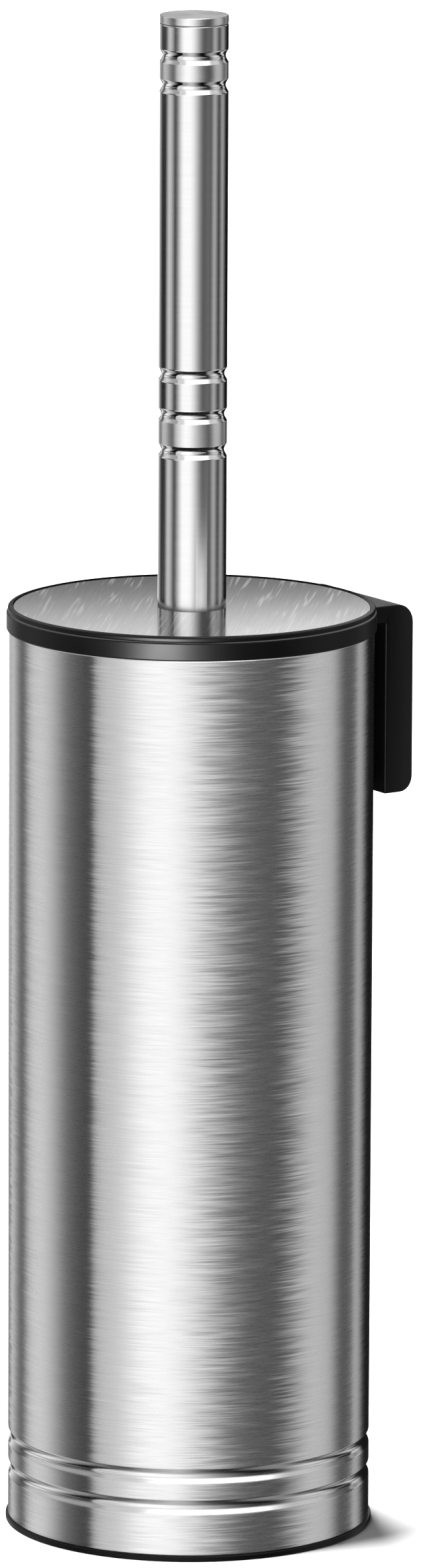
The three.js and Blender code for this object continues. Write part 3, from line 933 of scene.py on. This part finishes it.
def make_world():
    """The studio is seen only in reflections. The camera sees white, and matt surfaces get little from it."""
    world = bpy.data.worlds.new("studio")
    bpy.context.scene.world = world
    tree = Tree(world)
    direction = tree.add("ShaderNodeTexCoord").outputs["Generated"]
    rightward = tree.vector("DOT_PRODUCT", direction, tuple(RIGHT))
    frontward = tree.vector("DOT_PRODUCT", direction, tuple(-AWAY))
    azimuth = tree.math("DEGREES", tree.math("ARCTAN2", rightward, frontward))
    height = tree.add("ShaderNodeSeparateXYZ", {0: direction}).outputs[2]
    elevation = tree.math("DEGREES", tree.math("ARCSINE", height))

    light = tree.total(side_light(tree, azimuth, elevation),
                       back_light(tree, azimuth, elevation, rightward),
                       top_light(tree, azimuth, elevation))
    ray = tree.add("ShaderNodeLightPath")
    strength = tree.mix(ray.outputs["Is Diffuse Ray"], tree.product(light, STUDIO_STRENGTH), 0.04)
    strength = tree.mix(ray.outputs["Is Camera Ray"], strength, 1.0)
    background = tree.add("ShaderNodeBackground", {"Color": (1, 1, 1, 1), "Strength": strength})
    tree.add("ShaderNodeOutputWorld", {"Surface": background.outputs[0]})


def make_floor():
    size = 30
    corners = [(-size, -size, 0), (size, -size, 0), (size, size, 0), (-size, size, 0)]
    mesh = bpy.data.meshes.new("floor")
    mesh.from_pydata(corners, [], [(0, 1, 2, 3)])
    floor = as_object(mesh)
    material, tree, shader = new_material("floor_paper")
    tree.set(shader, "Base Color", (0.9, 0.9, 0.9, 1))
    tree.set(shader, "Roughness", 1.0)
    tree.set(shader, "Specular IOR Level", 0.0)
    mesh.materials.append(material)
    floor.visible_glossy = False
    floor.visible_shadow = False


def clear_reflections():
    """Keeps the lid and what is near it out of the handle's reflections, so its bands reach its foot."""
    for name in ("lid_plate", "lid_moulding", "collar_and_hanger", "bucket"):
        bpy.data.objects[name].visible_glossy = False


def new_lamp(name, kind, towards, **settings):
    """A lamp that stands towards a direction and shines back from it."""
    data = bpy.data.lights.new(name, kind)
    for key, value in settings.items():
        setattr(data, key, value)
    lamp = bpy.data.objects.new(name, data)
    bpy.context.scene.collection.objects.link(lamp)
    lamp.rotation_mode = "QUATERNION"
    lamp.rotation_quaternion = towards.to_track_quat("Z", "Y")
    return lamp


def sun(name, bearing):
    """A key light, high up on a bearing in degrees, from the camera's right towards its far side."""
    turn = math.radians(bearing)
    towards = Vector((0, 0, 1)) + (RIGHT * math.cos(turn) + AWAY * math.sin(turn)) * 0.45
    key = new_lamp(name, "SUN", towards, energy=4.2, angle=math.radians(12))
    key.visible_glossy = False


def soft_box(name, receivers, energy, size, away, height, across, spread=math.pi):
    """An area lamp that only some pieces catch, and only in their gloss. It stands away from the axis,
    across degrees to the camera's right, where a sight line that meets the axis at height is reflected."""
    turn, tilt = math.radians(across), math.radians(-11)
    towards = (-AWAY * math.cos(turn) + RIGHT * math.sin(turn)) * math.cos(tilt)
    towards += Vector((0, 0, math.sin(tilt)))
    lamp = new_lamp(name, "AREA", towards, shape="RECTANGLE", size=size[0], size_y=size[1], energy=energy,
                    spread=spread)
    lamp.location = Vector((0, 0, height * MM)) + towards * away
    lamp.visible_diffuse = False
    lamp.visible_camera = False
    lit = bpy.data.collections.new(name + "_receivers")
    for receiver in receivers:
        lit.objects.link(bpy.data.objects[receiver])
    lamp.light_linking.receiver_collection = lit
    lamp.light_linking.blocker_collection = bpy.data.collections.new(name + "_blockers")


def make_lights():
    # Two keys on the left, one in front and one behind. Each alone leaves the floor white, so only the place
    # where both are hidden, close to the foot on the right, goes dark.
    sun("front_key", 206)
    sun("back_key", 111)
    # A soft box low in front, for the highlight on the collar and the lid's rim.
    soft_box("front_box", ("collar_and_hanger", "lid_moulding"), 65.0, (0.7, 0.5), 1.5, COLLAR_TOP, -18)
    # A small card close on the right, for the light on the handle near its foot.
    soft_box("foot_card", ("handle_grip",), 0.02, (0.36, 0.2), 0.5, 172.0, 32, math.radians(60))


def make_camera():
    distance, aim_height = 2.96, 0.1984
    down, pan, roll = math.radians(10.95), math.radians(0.109), math.radians(0.26)
    data = bpy.data.cameras.new("camera")
    data.sensor_width = 36
    data.lens = 263.2
    data.clip_start, data.clip_end = 0.1, 100
    camera = bpy.data.objects.new("camera", data)
    bpy.context.scene.collection.objects.link(camera)
    place = -AWAY * distance + Vector((0, 0, aim_height + distance * math.tan(down)))
    aim = Matrix.Rotation(VIEW_AZIMUTH - pan, 4, "Z") @ Matrix.Rotation(math.pi / 2 - down, 4, "X")
    camera.matrix_world = Matrix.Translation(place) @ aim @ Matrix.Rotation(roll, 4, "Z")
    bpy.context.scene.camera = camera


clear_reflections()
make_world()
make_floor()
make_lights()
make_camera()
scene = bpy.context.scene
scene.view_settings.view_transform = "Standard"
scene.view_settings.look = "None"
